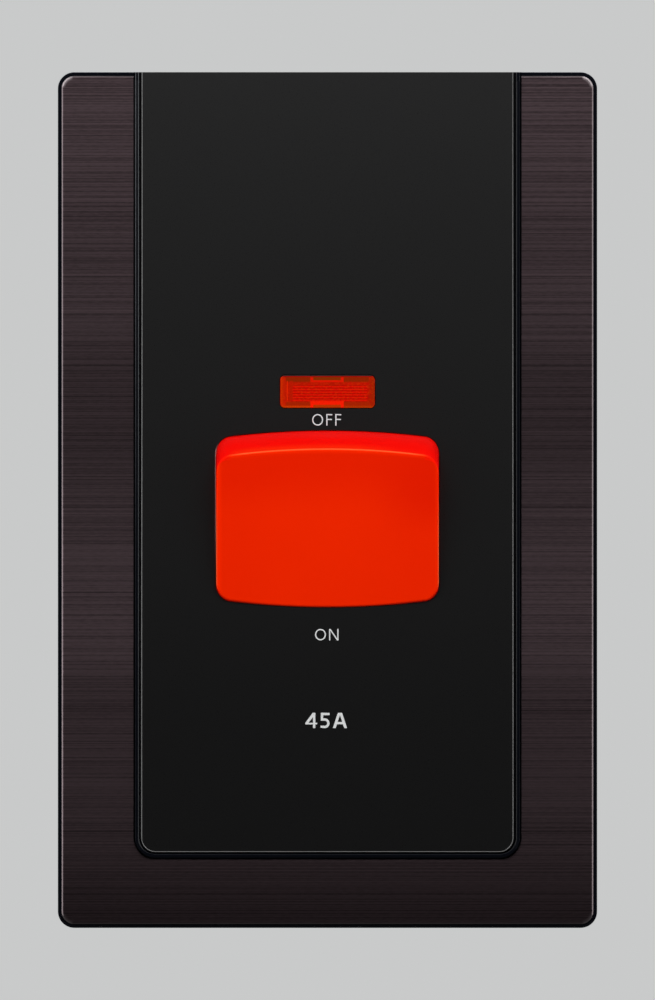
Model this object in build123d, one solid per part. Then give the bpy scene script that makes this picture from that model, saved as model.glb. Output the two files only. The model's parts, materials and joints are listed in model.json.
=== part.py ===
from build123d import *
import math
import os

# Double-pole switch for an air conditioner, on a tall two-gang wall plate, switched on.
# Pieces are drawn as seen on the wall: X to the right, Y up, Z out of the wall face at Z = 0,
# with the origin at the middle of the plate. They are turned upright, front to -Y, as they are written.

# Wall plate, seen from the front
plate_width = 92.0
plate_height = 146.0
plate_corner = 2.8
plate_depth = 9.0
fixing_centres = 120.6
fixing_hole = 4.2
fixing_boss = 10.4
fixing_head = 8.0

# Black cover frame
cover_wall = 1.6
cover_lift = 0.4
tray_floor = 1.0
rim_width = 0.66
rim_drop = 0.6
rim_round = 0.1
channel_width = 1.23
bead_gap = 0.25
bead_drop = 0.2
bead_round = 0.2
pry_slot_width = 9.0
pry_slot_depth = 1.0
catch_length = 8.0
catch_reach = 0.7
catch_height = 1.2
catch_inset = 28.0

# Brushed metal trim
trim_thickness = 0.8
trim_drop = 0.8
trim_outer_chamfer = 0.22
trim_inner_chamfer = 0.05
trim_fit = 0.05

# Centre panel
panel_width = 63.7
panel_foot = 12.9
panel_corner = 2.5
panel_thickness = 2.0
panel_chamfer = 0.3
hook_width = 5.0
hook_thickness = 1.2
hook_catch = 0.5
hook_inset = 3.2
hook_end_inset = 16.0
hook_fit = 0.15

# Red rocker: a barrel turned about its pivot, cut by a flat face
rocker_width = 38.0
rocker_height = 30.0
rocker_centre = -3.23
rocker_tilt = 12.0
pivot_depth = 4.1
rocker_face = 7.4
rocker_crown = 143.6
rocker_corner = 2.8
rocker_edge = 0.35
rocker_wall = 1.8
rocker_skirt = 3.0
rocker_rib = 1.3
window_gap = 0.08
window_edge = 0.12
trunnion_radius = 1.6
bearing_length = 2.4
bearing_wall = 2.2
running_fit = 0.05
side_play = 0.4

# Plungers and their springs in the rocker's two stems
pole_spacing = 23.0
stem_radius = 3.2
stem_reach = 8.6
plunger_radius = 2.0
plunger_length = 9.0
plunger_reach = 13.5
plunger_tip = 1.2
plunger_gap = 0.25
crest_room = 0.15
spring_radius = 1.5
spring_wire = 0.25
spring_turns = 5

# See-saw contacts
blade_swing = 8.0
blade_width = 6.0
blade_thickness = 1.2
blade_bend = 0.6
blade_lift_arm = 9.0
blade_overhang = 2.4
contact_arm = 12.0
contact_gap = 0.1
tip_radius = 2.0
tip_height = 1.0
tip_dome = 4.0
tip_stem = 1.1
fixed_tip_radius = 2.4
fixed_tip_height = 1.0
ear_thickness = 1.2
ear_half_height = 3.2
ear_rise = 0.9
ear_gap = 0.15
bar_width = 7.2
bar_thickness = 1.5
bar_reach = 3.6

# Terminals
terminal_width = 10.0
terminal_length = 14.0
terminal_bore = 5.4
terminal_seat = 1.8
terminal_thread = 3.0
terminal_chamfer = 0.4
terminal_inset = 1.0
clamp_radius = 2.4
clamp_pitch = 6.8
clamp_head_radius = 3.1
clamp_head_height = 2.2
clamp_setback = 0.25
clamp_slot = 0.9
thread_fit = 0.05

# Indicator lens and lamp
lens_width = 16.2
lens_height = 5.6
lens_corner = 0.8
lens_thickness = 1.4
lens_spacing = 6.73
lens_fit = 0.1
lens_ledge = 1.2
lens_edge = 0.15
leg_width = 6.0
leg_thickness = 1.0
leg_length = 1.9
leg_catch = 0.35
rib_count = 6
rib_pitch = 0.46
rib_depth = 0.25
lamp_radius = 1.9
lamp_length = 11.0
lamp_setback = 3.8
lamp_pinch = 1.0
lamp_round = 1.7
lead_radius = 0.25
lead_bend = 0.8
lead_spread = 1.4
lead_room = 0.25
resistor_radius = 1.15
resistor_length = 6.3
bay_half_width = 9.0
bay_half_height = 4.4
bay_wall = 1.2

# Switch housing, terminal base and mounting frame
housing_wall = 1.8
housing_corner = 1.6
housing_gap = 0.2
partition = 1.6
sweep_gap = 0.4
cross_wall = 1.4
base_wall = 1.8
base_flange = 2.0
base_floor = 2.0
base_spine_cells = 4
chamber_gap = 0.3
recess_gap = 0.15
lug_width = 8.0
lug_thickness = 2.0
lug_reach = 3.4
lug_height = 18.0
frame_gap = 0.2
frame_wall = 1.6
frame_corner = 1.0
frame_drop = 0.4
web_back = 1.8
web_thickness = 2.0
rib_thickness = 1.4
rib_setback = 0.6
rib_spacing = 24.0
screw_radius = 1.2
screw_head_radius = 2.2
screw_head_height = 1.6
screw_slot = 0.7
screw_grip = 4.6
screw_boss = 1.5
screw_margin = 0.3

# Depths from the wall face
panel_back = plate_depth - panel_thickness
trim_front = plate_depth - trim_drop
trim_back = trim_front - trim_thickness
rim_front = trim_front - rim_drop
bead_front = plate_depth - bead_drop
floor_back = panel_back - tray_floor
pivot_z = plate_depth - pivot_depth
lens_back = plate_depth - lens_thickness
web_front = web_back + web_thickness
frame_front = floor_back - frame_drop
housing_front = panel_back - housing_gap

# Places on the face of the plate
plate_top = plate_height / 2
panel_bottom = panel_foot - plate_top
lens_y = rocker_centre + rocker_height / 2 + lens_spacing
pole_x = pole_spacing / 2

# The rocker's end walls are arcs about its pivot that meet the panel at the window's ends
rocker_radius = math.hypot(rocker_height / 2, pivot_depth)
tilt = math.radians(rocker_tilt)
rocker_sweep = rocker_radius * math.sin(tilt) + rocker_skirt * math.cos(tilt)
partition_front = pivot_z - rocker_sweep - sweep_gap
partition_back = partition_front - partition

# The see-saw's arms slope so that the plunger's tip keeps its gap at both ends of the swing
swing = math.radians(blade_swing)
blade_outer = blade_bend + blade_thickness
blade_depth = plunger_reach + plunger_tip + plunger_gap + crest_room - blade_bend
blade_z = pivot_z - blade_depth
tip_rise = plunger_reach * math.sin(tilt)
tip_ahead = blade_depth - plunger_reach * math.cos(tilt)
tip_along = tip_rise * math.cos(swing) - tip_ahead * math.sin(swing)
tip_above = tip_rise * math.sin(swing) + tip_ahead * math.cos(swing)
tip_distance = plunger_tip + plunger_gap - blade_bend
slope = math.acos(tip_distance / math.hypot(tip_above, tip_along)) - math.atan2(tip_along, tip_above)
closed_slope = slope - swing

# The fixed tips lie just behind the domed moving tips of the closed contacts
dome_offset = blade_outer + tip_height - tip_dome
contact_y = contact_arm * math.cos(closed_slope) + dome_offset * math.sin(closed_slope)
dome_z = contact_arm * math.sin(closed_slope) - dome_offset * math.cos(closed_slope)
fixed_face = blade_z + dome_z - tip_dome - contact_gap
bar_front = fixed_face - fixed_tip_height
bar_back = bar_front - bar_thickness

# Terminals behind the bars, with clamp screws drawn back clear of the cable bore
bore_radius = terminal_bore / 2
bore_z = bar_back - terminal_seat - bore_radius
terminal_back = bore_z - bore_radius - terminal_thread
clamp_tip = bore_z - bore_radius - clamp_setback
clamp_shank = terminal_thread + terminal_bore - clamp_setback
clamp_seat = clamp_tip - clamp_shank
base_back = clamp_seat - clamp_head_height
recess_half = terminal_width / 2 + recess_gap
base_half_width = pole_x + recess_half + base_wall

# Housing outline around the rocker's bearings, the lamp bay and the base's corner screws
bearing_face = rocker_width / 2 + side_play
screw_column = base_half_width + screw_margin + screw_head_radius
housing_half_width = max(bearing_face + bearing_length + housing_wall, screw_column + screw_head_radius)
housing_half_height = rocker_height / 2 + lens_spacing + bay_half_height + housing_wall
inner_half_width = housing_half_width - housing_wall
inner_half_height = housing_half_height - housing_wall
well_half_height = rocker_radius + sweep_gap
terminal_end = housing_half_height - terminal_inset
terminal_start = terminal_end - terminal_length
chamber_end = inner_half_height - base_wall
chamber_half = blade_width / 2 + ear_gap + ear_thickness + chamber_gap
corner_screw_x = housing_half_width - screw_head_radius - screw_margin
corner_screw_y = housing_half_height - screw_head_radius - screw_margin
lug_x = housing_half_width + lug_reach

# Lamp bay behind the lens
lamp_z = lens_back - lamp_setback
return_z = lamp_z - lamp_radius - lead_room - lead_radius
bay_floor = return_z - lead_radius - lead_room


def slab(outline, low, high):
    """Outline drawn on the wall plane, raised from depth low to depth high."""
    return extrude(Pos(0, 0, low) * outline, high - low)


def block(width, height, low, high, x=0.0, y=0.0):
    """Box on a rectangle centred at x, y."""
    return slab(Pos(x, y) * Rectangle(width, height), low, high)


def post(radius, low, high, x=0.0, y=0.0):
    """Round post standing out of the wall at x, y."""
    return slab(Pos(x, y) * Circle(radius), low, high)


def axle(radius, left, right, y, z):
    """Round bar along X."""
    return extrude(Plane.YZ.offset(left) * Pos(y, z) * Circle(radius), right - left)


def upright_rod(radius, low, high, x, z):
    """Round bar along Y."""
    return extrude(Pos(x, low, z) * Rot(-90, 0, 0) * Circle(radius), high - low)


def tongue(half_width, bottom, corner):
    """Outline that is open to the top edge of the plate, with two rounded corners at the bottom."""
    outline = Pos(0, (plate_top + bottom) / 2) * Rectangle(2 * half_width, plate_top - bottom)
    return fillet(outline.vertices().group_by(Axis.Y)[0], corner)


def panel_tongue(margin):
    """The panel's outline, widened by a margin at the sides and the bottom."""
    return tongue(panel_width / 2 + margin, panel_bottom - margin, panel_corner + margin)


def plate_outline(inset):
    """Outline of the whole plate, moved in by an inset."""
    corner = max(plate_corner - inset, frame_corner)
    return RectangleRounded(plate_width - 2 * inset, plate_height - 2 * inset, corner)


def front_edges(piece):
    """Edges of the front face."""
    return piece.faces().sort_by(Axis.Z)[-1].edges()


def four_corners(x, y):
    """The four places at plus and minus x and y about the middle of the rocker."""
    return [(side * x, rocker_centre + end * y) for side in (-1, 1) for end in (-1, 1)]


def hook_places():
    """Places of the panel's snap hooks, three down each side."""
    heights = (plate_top - hook_end_inset, rocker_centre, panel_bottom + hook_end_inset)
    reach = panel_width / 2 - hook_inset
    return [(side, side * reach, y) for side in (-1, 1) for y in heights]


def cover_catches(margin):
    """Ramped noses inside the cover's long walls that snap into the mounting frame."""
    wall = plate_width / 2 - cover_wall
    low = web_back
    high = low + catch_height
    reach = frame_gap + catch_reach
    nose = Polyline(
        (wall + margin, low - margin),
        (wall + margin, high + margin),
        (wall - reach - margin, high + margin),
        (wall - reach - margin, high - catch_height / 2 - margin),
        close=True,
    )
    catches = []
    for side in (-1, 1):
        for end in (-1, 1):
            y = end * (plate_top - catch_inset)
            place = Pos(0, y, 0) * Rot(90, 0, 0)
            raised = extrude(place * make_face(nose), catch_length / 2 + margin, both=True)
            catches.append(raised if side > 0 else mirror(raised, about=Plane.YZ))
    return catches


def cover_frame():
    """Snap-on surround: side walls, trim seat, bead and the tray for the panel."""
    edge = slab(plate_outline(0), cover_lift, rim_front)
    cover = fillet(front_edges(edge), rim_round)
    cover -= slab(plate_outline(rim_width - trim_fit), trim_back, rim_front)
    cover -= slab(panel_tongue(channel_width), trim_back, rim_front)
    bead = slab(panel_tongue(channel_width - bead_gap) - panel_tongue(bead_gap), panel_back, bead_front)
    rails = front_edges(bead).filter_by(lambda edge: edge.center().Y < plate_top - bead_round)
    cover += fillet(rails, bead_round)
    cover -= slab(panel_tongue(bead_gap), panel_back, bead_front)
    cover -= slab(plate_outline(cover_wall), cover_lift, floor_back)
    cover -= block(
        2 * (housing_half_width + housing_gap),
        2 * (housing_half_height + housing_gap),
        floor_back,
        panel_back,
        y=rocker_centre,
    )
    for side, x, y in hook_places():
        slot_width = hook_thickness + hook_catch + 2 * hook_fit
        middle = x + side * hook_catch / 2
        cover -= block(slot_width, hook_width + 2 * hook_fit, floor_back, panel_back, middle, y)
    cover += cover_catches(0)
    cover -= block(pry_slot_width, 2 * cover_wall, cover_lift, cover_lift + pry_slot_depth, y=-plate_top)
    return cover


def brushed_trim():
    """Folded-edge metal sheet: left bar, right bar and bottom bar in one piece."""
    trim = slab(plate_outline(rim_width) - panel_tongue(channel_width), trim_back, trim_front)
    reach = panel_width / 2 + channel_width
    inner = front_edges(trim).filter_by(lambda edge: abs(edge.center().X) < reach + trim_fit)
    inner = inner.filter_by(lambda edge: edge.center().Y > panel_bottom - channel_width - trim_fit)
    trim = chamfer(inner, trim_inner_chamfer)
    outer = front_edges(trim).filter_by(
        lambda edge: abs(edge.center().X) > reach + trim_outer_chamfer
        or edge.center().Y < panel_bottom - channel_width - trim_outer_chamfer
    )
    return chamfer(outer, trim_outer_chamfer)


def barrel(margin):
    """Solid of revolution about the pivot: crowned ends, rounded corners, flat sides."""
    half = rocker_width / 2 + margin
    radius = rocker_radius + margin
    crown = Pos(0, rocker_radius - rocker_crown) * Circle(rocker_crown + margin)
    profile = (Pos(0, radius / 2) * Rectangle(2 * half, radius)) & crown
    profile = fillet(profile.vertices().group_by(Axis.Y)[-1], rocker_corner + margin)
    return revolve(profile, Axis.X)


def at_rocker(piece):
    """Carries a piece drawn about the pivot to its place in the switched-on rocker."""
    return Pos(0, rocker_centre, pivot_z) * Rot(rocker_tilt, 0, 0) * piece


def centre_panel():
    """Panel with the rocker's window, the lens seat and snap hooks behind."""
    panel = slab(panel_tongue(0), panel_back, plate_depth)
    sides = front_edges(panel).filter_by(lambda edge: edge.center().Y < plate_top - panel_chamfer)
    panel = chamfer(sides, panel_chamfer)
    panel -= Pos(0, rocker_centre, pivot_z) * barrel(window_gap)
    window = panel.faces().sort_by(Axis.Z)[-1].inner_wires()[0]
    panel = chamfer(window.edges(), window_edge)
    width = lens_width + 2 * lens_fit
    height = lens_height + 2 * lens_fit
    seat = Pos(0, lens_y) * RectangleRounded(width, height, lens_corner + lens_fit)
    panel -= slab(seat, lens_back, plate_depth)
    panel -= block(lens_width - 2 * lens_ledge, height, panel_back, lens_back, y=lens_y)
    tail = floor_back - 2 * hook_catch - hook_fit
    for side, x, y in hook_places():
        panel += block(hook_thickness, hook_width, tail, panel_back, x, y)
        nose_x = x + side * (hook_thickness + hook_catch) / 2
        panel += block(hook_catch, hook_width, tail, floor_back - hook_fit, nose_x, y)
    return panel


def rocker():
    """Hollow moulding with trunnions on its sides and two stems for the plungers."""
    span = 2 * rocker_radius
    keep = block(rocker_width, span, -rocker_skirt, rocker_face)
    skin = barrel(0) & keep
    skin = fillet(front_edges(skin), rocker_edge)
    core = barrel(-rocker_wall) & block(rocker_width, span, -span, rocker_face - rocker_wall)
    shell = skin - core
    ribs = block(pole_spacing, rocker_rib, 0, rocker_face - rocker_wall)
    for side in (-1, 1):
        ribs += block(rocker_rib, span, 0, rocker_face - rocker_wall, side * pole_x)
    shell += ribs & core
    tip = bearing_face + bearing_length - side_play / 2
    for side in (-1, 1):
        shell += post(stem_radius, -stem_reach, rocker_face - rocker_wall / 2, side * pole_x)
        shell -= post(plunger_radius + running_fit, -stem_reach, stem_floor(), side * pole_x)
    for left, right in ((-tip, -rocker_width / 2), (rocker_width / 2, tip)):
        shell += axle(trunnion_radius, left, right, 0, 0)
    return at_rocker(shell)


def stem_floor():
    """Front end of the spring's hole in a stem."""
    return rocker_face - 2 * rocker_wall


def plunger(x):
    """Nylon pin with a round tip that rides on the see-saw."""
    back = -plunger_reach
    neck = -stem_reach - plunger_radius
    profile = Polyline(
        (0, back),
        (plunger_tip, back),
        (plunger_tip, neck),
        (plunger_radius, neck + plunger_radius - plunger_tip),
        (plunger_radius, back + plunger_length),
        (0, back + plunger_length),
        close=True,
    )
    pin = revolve(Plane.XZ * make_face(profile), Axis.Z)
    pin += Pos(0, 0, back) * Sphere(plunger_tip)
    return at_rocker(Pos(x, 0, 0) * pin)


def plunger_spring(x):
    """Compression spring between the plunger and the floor of its stem."""
    low = plunger_length - plunger_reach + spring_wire
    height = stem_floor() - spring_wire - low
    path = Helix(height / spring_turns, height, spring_radius)
    section = Plane(origin=path @ 0, z_dir=path % 0) * Circle(spring_wire)
    wire = sweep(section, path=path, is_frenet=True)
    return at_rocker(Pos(x, 0, low) * wire)


def at_blade(piece, x):
    """Carries a piece drawn about the see-saw's axis to its place in the closed contact."""
    return Pos(x, rocker_centre, blade_z) * Rot(-blade_swing, 0, 0) * piece


def blade_arm(length):
    """Side view of one arm that rises from the bend, drawn up and out."""
    middle = blade_bend + blade_thickness / 2
    return Rot(0, 0, math.degrees(slope)) * Pos(length / 2, -middle) * Rectangle(length, blade_thickness)


def moving_contact(x):
    """Copper see-saw: a strip bent to a shallow V with round ears on its axis."""
    fan = Polyline(
        (0, 0),
        (-2 * blade_outer * math.sin(slope), -2 * blade_outer * math.cos(slope)),
        (2 * blade_outer * math.sin(slope), -2 * blade_outer * math.cos(slope)),
        close=True,
    )
    bend = (Circle(blade_outer) - Circle(blade_bend)) & make_face(fan)
    side = bend + blade_arm(contact_arm + blade_overhang)
    side += mirror(blade_arm(blade_lift_arm), about=Plane.YZ)
    blade = extrude(Plane.YZ * side, blade_width / 2, both=True)
    tip = blade_width / 2 + ear_gap + ear_thickness
    for left, right in ((-tip, -blade_width / 2), (blade_width / 2, tip)):
        blade += axle(blade_outer, left, right, 0, 0)
    hole = post(tip_stem + thread_fit, -blade_outer, -blade_bend, y=contact_arm)
    blade -= Rot(math.degrees(slope), 0, 0) * hole
    return at_blade(blade, x)


def moving_tip(x):
    """Domed silver rivet in the long arm of the see-saw."""
    back = -blade_outer - tip_height
    dome = post(tip_radius, back, -blade_outer) & (Pos(0, 0, back + tip_dome) * Sphere(tip_dome))
    rivet = dome + post(tip_stem, -blade_outer, -blade_bend)
    return at_blade(Rot(math.degrees(slope), 0, 0) * Pos(0, contact_arm, 0) * rivet, x)


def feed_bar(x):
    """Brass bar to the incoming terminal, with two notched cheeks that carry the see-saw."""
    low = rocker_centre - chamber_end
    high = rocker_centre + bar_reach
    bar = block(bar_width, high - low, bar_back, bar_front, x, (high + low) / 2)
    inner = x + blade_width / 2 + ear_gap
    notch = blade_outer + running_fit
    cheek_front = blade_z + ear_rise
    for left in (inner, 2 * x - inner - ear_thickness):
        middle = left + ear_thickness / 2
        cheek = block(ear_thickness, 2 * ear_half_height, bar_front, cheek_front, middle, rocker_centre)
        cheek -= axle(notch, left, left + ear_thickness, rocker_centre, blade_z)
        cheek -= block(ear_thickness, 2 * notch, blade_z, cheek_front, middle, rocker_centre)
        bar += cheek
    return bar


def output_bar(x):
    """Brass bar to the outgoing terminal, with the fixed contact riveted to its inner end."""
    low = rocker_centre + contact_y - bar_reach
    high = rocker_centre + chamber_end
    bar = block(bar_width, high - low, bar_back, bar_front, x, (high + low) / 2)
    return bar - post(tip_stem + thread_fit, bar_back, bar_front, x, rocker_centre + contact_y)


def fixed_tip(x):
    """Flat silver rivet in the output bar."""
    y = rocker_centre + contact_y
    return post(fixed_tip_radius, bar_front, fixed_face, x, y) + post(tip_stem, bar_back, bar_front, x, y)


def clamp_places(x, end):
    """Places of a terminal's two clamp screws."""
    middle = rocker_centre + end * (terminal_start + terminal_end) / 2
    return [(x, middle + step * clamp_pitch / 2) for step in (-1, 1)]


def terminal(x, end):
    """Brass block with a cable bore along the wall and two threaded holes from behind."""
    middle = rocker_centre + end * (terminal_start + terminal_end) / 2
    body = block(terminal_width, terminal_length, terminal_back, bar_back, x, middle)
    body = chamfer(body.edges(), terminal_chamfer)
    half = terminal_length / 2
    body -= upright_rod(bore_radius, middle - half, middle + half, x, bore_z)
    for clamp_x, clamp_y in clamp_places(x, end):
        body -= post(clamp_radius + thread_fit, terminal_back, bore_z, clamp_x, clamp_y)
    return body


def slotted_screw(radius, tip, seat, head_radius, head_height, slot):
    """Screw that points out of the wall, with a slotted head behind its seat."""
    head = post(head_radius, seat - head_height, seat)
    head = chamfer(head.faces().sort_by(Axis.Z)[0].edges(), slot / 2)
    head -= block(2 * head_radius, slot, seat - head_height, seat - head_height / 2)
    return head + post(radius, seat, tip)


def terminal_screws():
    """Two clamp screws in each of the four terminals."""
    screw = slotted_screw(
        clamp_radius, clamp_tip, clamp_seat, clamp_head_radius, clamp_head_height, clamp_slot
    )
    places = [place for x in (-pole_x, pole_x) for end in (-1, 1) for place in clamp_places(x, end)]
    return Compound(children=[Pos(x, y) * screw for x, y in places])


def housing_screws():
    """Four corner screws that join the base to the housing."""
    seat = partition_back - base_flange
    tip = partition_back + screw_grip
    screw = slotted_screw(screw_radius, tip, seat, screw_head_radius, screw_head_height, screw_slot)
    places = four_corners(corner_screw_x, corner_screw_y)
    return Compound(children=[Pos(x, y) * screw for x, y in places])


def frame_screws():
    """Four screws that hold the housing's lugs to the mounting frame."""
    seat = web_back - lug_thickness
    tip = web_front + screw_boss - screw_margin
    screw = slotted_screw(screw_radius, tip, seat, screw_head_radius, screw_head_height, screw_slot)
    return Compound(children=[Pos(x, y) * screw for x, y in four_corners(lug_x, lug_height)])


def neon_lens():
    """Lens with ribs inside and two snap legs, dropped into its seat in the panel."""
    lens = slab(RectangleRounded(lens_width, lens_height, lens_corner), lens_back, plate_depth)
    lens = fillet(front_edges(lens), lens_edge)
    rib_length = lens_width - 2 * lens_ledge - 2 * lens_fit
    for rib in range(rib_count):
        y = (rib - (rib_count - 1) / 2) * rib_pitch
        lens += block(rib_length, rib_pitch / 2, lens_back - rib_depth, lens_back, y=y)
    catch = panel_back - lens_fit
    for end in (-1, 1):
        leg_y = end * (lens_height - leg_thickness) / 2
        lens += block(leg_width, leg_thickness, lens_back - leg_length, lens_back, y=leg_y)
        nose_y = end * (lens_height + leg_catch + lens_fit) / 2
        lens += block(leg_width, leg_catch + lens_fit, lens_back - leg_length, catch, y=nose_y)
    return Pos(0, lens_y, 0) * lens


def neon_lamp():
    """Glass lamp lying across the bay, with both leads pinched into its left end."""
    half = lamp_length / 2
    bulb = axle(lamp_radius, -half, half, 0, 0)
    bulb = fillet(bulb.faces().sort_by(Axis.X)[-1].edges(), lamp_round)
    pinch = Box(lamp_pinch, lead_spread + 4 * lead_radius, 4 * lead_radius)
    bulb += Pos(-half - lamp_pinch / 2, 0, 0) * pinch
    return Pos(0, lens_y, lamp_z) * bulb


def wire(*points):
    """Bare lead along straight runs with round bends."""
    path = FilletPolyline(*points, radius=lead_bend) if len(points) > 2 else Line(*points)
    section = Plane(origin=path @ 0, z_dir=path % 0) * Circle(lead_radius)
    return sweep(section, path=path)


def lamp_lead_line():
    """Lead from the lamp straight back to the line output bar."""
    start = -lamp_length / 2 - lamp_pinch
    y = lens_y + lead_spread / 2
    return wire((start, y, lamp_z), (-pole_x, y, lamp_z), (-pole_x, y, bar_front))


def resistor_front():
    """Front end of the resistor, just behind the housing's partition."""
    return partition_back - lead_bend


def lamp_lead_neutral():
    """Lead that returns behind the lamp, then the resistor's own tail to the neutral output bar."""
    start = -lamp_length / 2 - lamp_pinch
    turn = start - 2 * lead_bend
    y = lens_y - lead_spread / 2
    lead = wire(
        (start, y, lamp_z),
        (turn, y, lamp_z),
        (turn, y, return_z),
        (pole_x, y, return_z),
        (pole_x, y, resistor_front()),
    )
    tail = wire((pole_x, y, resistor_front() - resistor_length), (pole_x, y, bar_front))
    return Compound(children=[lead, tail])


def lamp_resistor():
    """Resistor in the neutral lead, with its rounded ends."""
    back = resistor_front() - resistor_length
    body = post(resistor_radius, back, resistor_front(), pole_x, lens_y - lead_spread / 2)
    ends = body.edges().filter_by(GeomType.CIRCLE)
    return fillet(ends, resistor_radius / 2)


def housing_outline(margin):
    """Outline of the housing and of the base's flange."""
    width = 2 * (housing_half_width + margin)
    height = 2 * (housing_half_height + margin)
    return Pos(0, rocker_centre) * RectangleRounded(width, height, housing_corner + margin)


def lug_outline(x, y, margin):
    """Round-ended lug that joins the housing's side to its screw at x, y."""
    width = lug_width + 2 * margin
    root = math.copysign(lug_reach, x)
    return Pos(x, y) * Circle(width / 2) + Pos(x - root / 2, y) * Rectangle(lug_reach, width)


def stem_slots(body):
    """Cuts the partition's slots in which the rocker's stems swing."""
    reach = stem_reach * math.sin(tilt) + stem_radius / math.cos(tilt) + sweep_gap
    for x in (-pole_x, pole_x):
        width = 2 * (stem_radius + sweep_gap)
        body -= block(width, 2 * reach, partition_back, partition_front, x, rocker_centre)
    return body


def lamp_bay():
    """Floor and side walls of the lamp's bay, notched for the leads."""
    low = rocker_centre + well_half_height
    high = rocker_centre + inner_half_height
    width = 2 * (bay_half_width + bay_wall)
    middle = (low + high) / 2
    front = panel_back - housing_gap - leg_catch
    bay = block(width, high - low, bay_floor - bay_wall, front, 0, middle)
    bay -= block(2 * bay_half_width, high - low, bay_floor, front, 0, middle)
    notch = lead_spread + 4 * lead_radius
    return bay - block(width, notch, bay_floor, front, 0, lens_y)


def switch_housing():
    """Front half of the switch: rocker well, bearings, lamp bay, lugs and the partition."""
    body = slab(housing_outline(0), partition_back, housing_front)
    body -= block(
        2 * inner_half_width, 2 * inner_half_height, partition_front, housing_front, 0, rocker_centre
    )
    for end in (-1, 1):
        y = rocker_centre + end * (well_half_height + cross_wall / 2)
        body += block(2 * inner_half_width, cross_wall, partition_front, housing_front, 0, y)
    boss = trunnion_radius + bearing_wall
    for left, right in ((-inner_half_width, -bearing_face), (bearing_face, inner_half_width)):
        cheek = axle(boss, left, right, rocker_centre, pivot_z)
        cheek += block(right - left, 2 * boss, partition_front, pivot_z, (left + right) / 2, rocker_centre)
        body += cheek & slab(housing_outline(0), partition_front, housing_front)
        body -= axle(trunnion_radius + running_fit, left, right, rocker_centre, pivot_z)
    body += lamp_bay()
    hole_end = partition_back + screw_grip + screw_margin
    for x, y in four_corners(corner_screw_x, corner_screw_y):
        stud = post(screw_radius + screw_boss, partition_front, hole_end + screw_boss, x, y)
        body += stud & slab(housing_outline(0), partition_front, housing_front)
        body -= post(screw_radius + thread_fit, partition_back, hole_end, x, y)
    for x, y in four_corners(lug_x, lug_height):
        body += slab(lug_outline(x, y, 0), web_back - lug_thickness, web_back)
        body -= post(screw_radius + thread_fit, web_back - lug_thickness, web_back, x, y)
    for side in (-1, 1):
        y = lens_y - side * lead_spread / 2
        body -= post(2 * lead_radius, partition_back, partition_front, side * pole_x, y)
    return stem_slots(body)


def base_cells(base):
    """Cores the back of the base: cells down the spine and a pocket behind each see-saw."""
    wall = base_wall
    spine = 2 * (pole_x - recess_half - wall)
    floor = bar_back - base_floor
    span = 2 * terminal_end
    cell = (span - (base_spine_cells + 1) * wall) / base_spine_cells
    for index in range(base_spine_cells):
        y = rocker_centre - span / 2 + wall + cell / 2 + index * (cell + wall)
        base -= block(spine, cell, base_back, floor, 0, y)
    pocket = 2 * (terminal_start - recess_gap - wall)
    for x in (-pole_x, pole_x):
        base -= block(2 * recess_half, pocket, base_back, floor, x, rocker_centre)
    return base


def terminal_base():
    """Rear half of the switch: contact chambers in front, terminal recesses open to the ends and back."""
    body = Pos(0, rocker_centre) * RectangleRounded(
        2 * base_half_width, 2 * housing_half_height, housing_corner
    )
    base = slab(body, base_back, partition_back)
    base += slab(housing_outline(0), partition_back - base_flange, partition_back)
    for x in (-pole_x, pole_x):
        base -= block(2 * chamber_half, 2 * chamber_end, bar_back, partition_back, x, rocker_centre)
        for end in (-1, 1):
            start = terminal_start - recess_gap
            length = housing_half_height - start
            y = rocker_centre + end * (start + length / 2)
            base -= block(2 * recess_half, length, base_back, bar_back, x, y)
    for x, y in four_corners(corner_screw_x, corner_screw_y):
        base -= post(screw_radius + thread_fit, partition_back - base_flange, partition_back, x, y)
    return base_cells(base)


def frame_ribs(hollow):
    """Stiffening ribs on the back of the web, trimmed to the frame's inside."""
    ribs = []
    edge = housing_half_width + housing_gap + rib_thickness
    for side in (-1, 1):
        ribs.append(block(rib_thickness, plate_height, rib_setback, web_back, side * edge))
    rows = int((plate_top - frame_wall) // rib_spacing)
    for row in range(-rows, rows + 1):
        ribs.append(block(plate_width, rib_thickness, rib_setback, web_back, y=row * rib_spacing))
    return [rib & slab(hollow, rib_setback, web_back) for rib in ribs]


def mounting_frame():
    """Frame that is screwed to the wall box: rim, web, fixing bosses and the opening for the switch."""
    inset = cover_wall + frame_gap
    hollow = plate_outline(inset + frame_wall)
    frame = slab(plate_outline(inset), 0, frame_front)
    frame -= slab(hollow, web_front, frame_front)
    frame -= slab(hollow, 0, web_back)
    frame += frame_ribs(hollow)
    for end in (-1, 1):
        frame += post(fixing_boss / 2, 0, web_front, y=end * fixing_centres / 2)
    for x, y in four_corners(lug_x, lug_height):
        frame -= slab(lug_outline(x, y, recess_gap), 0, web_back)
        frame += post(screw_radius + screw_boss, web_front, web_front + screw_boss, x, y)
        frame -= post(screw_radius + thread_fit, web_back, web_front + screw_boss, x, y)
    frame -= slab(housing_outline(housing_gap), 0, frame_front)
    for end in (-1, 1):
        y = end * fixing_centres / 2
        frame -= post(fixing_hole / 2, 0, web_front, y=y)
        sink = Cone(fixing_hole / 2, fixing_head / 2, web_thickness)
        frame -= Pos(0, y, web_back + web_thickness / 2) * sink
    return frame - cover_catches(recess_gap)


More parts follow.
